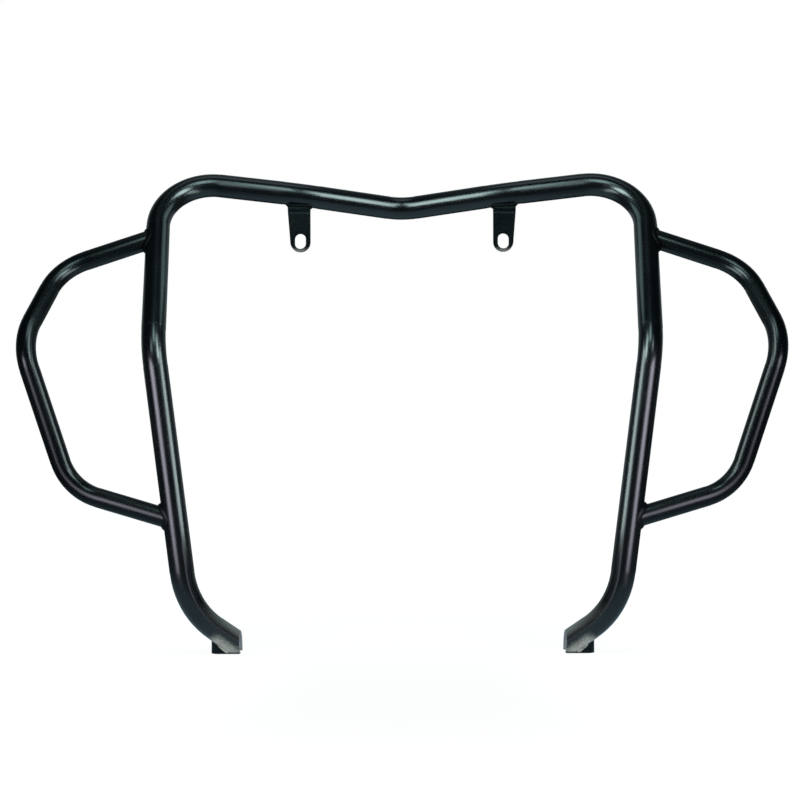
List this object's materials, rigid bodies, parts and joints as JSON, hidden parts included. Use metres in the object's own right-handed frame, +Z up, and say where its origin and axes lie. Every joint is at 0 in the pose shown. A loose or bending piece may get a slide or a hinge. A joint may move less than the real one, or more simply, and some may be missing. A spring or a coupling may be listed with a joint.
{
  "type": "motorcycle crash bars",
  "caption": "Black tubular crash bars: a bent hoop with a side loop on each leg, slotted lugs under the top bar and brackets at the feet.",
  "frame": {"origin": "midway between the bolt holes of the two foot brackets, on their common axis", "axes": "+X to the right as seen from in front, +Y back towards the motorcycle, +Z up"},
  "size_m": [0.7948, 0.1709, 0.5163],
  "materials": {
    "tube_coat": "black satin powder coat on steel tube",
    "plate_coat": "black satin powder coat on steel plate",
    "weld_coat": "black powder coat over a rippled weld bead",
    "foot_weld_metal": "rough pale weld with thin coating"
  },
  "bodies": {
    "root": {"hoop_tube": "tube_coat", "left_side_loop": "tube_coat", "right_side_loop": "tube_coat", "left_top_lug": "plate_coat", "right_top_lug": "plate_coat", "left_foot_bracket": "plate_coat", "right_foot_bracket": "plate_coat", "left_loop_top_weld": "weld_coat", "left_loop_bottom_weld": "weld_coat", "right_loop_top_weld": "weld_coat", "right_loop_bottom_weld": "weld_coat", "left_lug_weld": "weld_coat", "right_lug_weld": "weld_coat", "left_foot_weld": "foot_weld_metal", "right_foot_weld": "foot_weld_metal"}
  },
  "joints": []
}
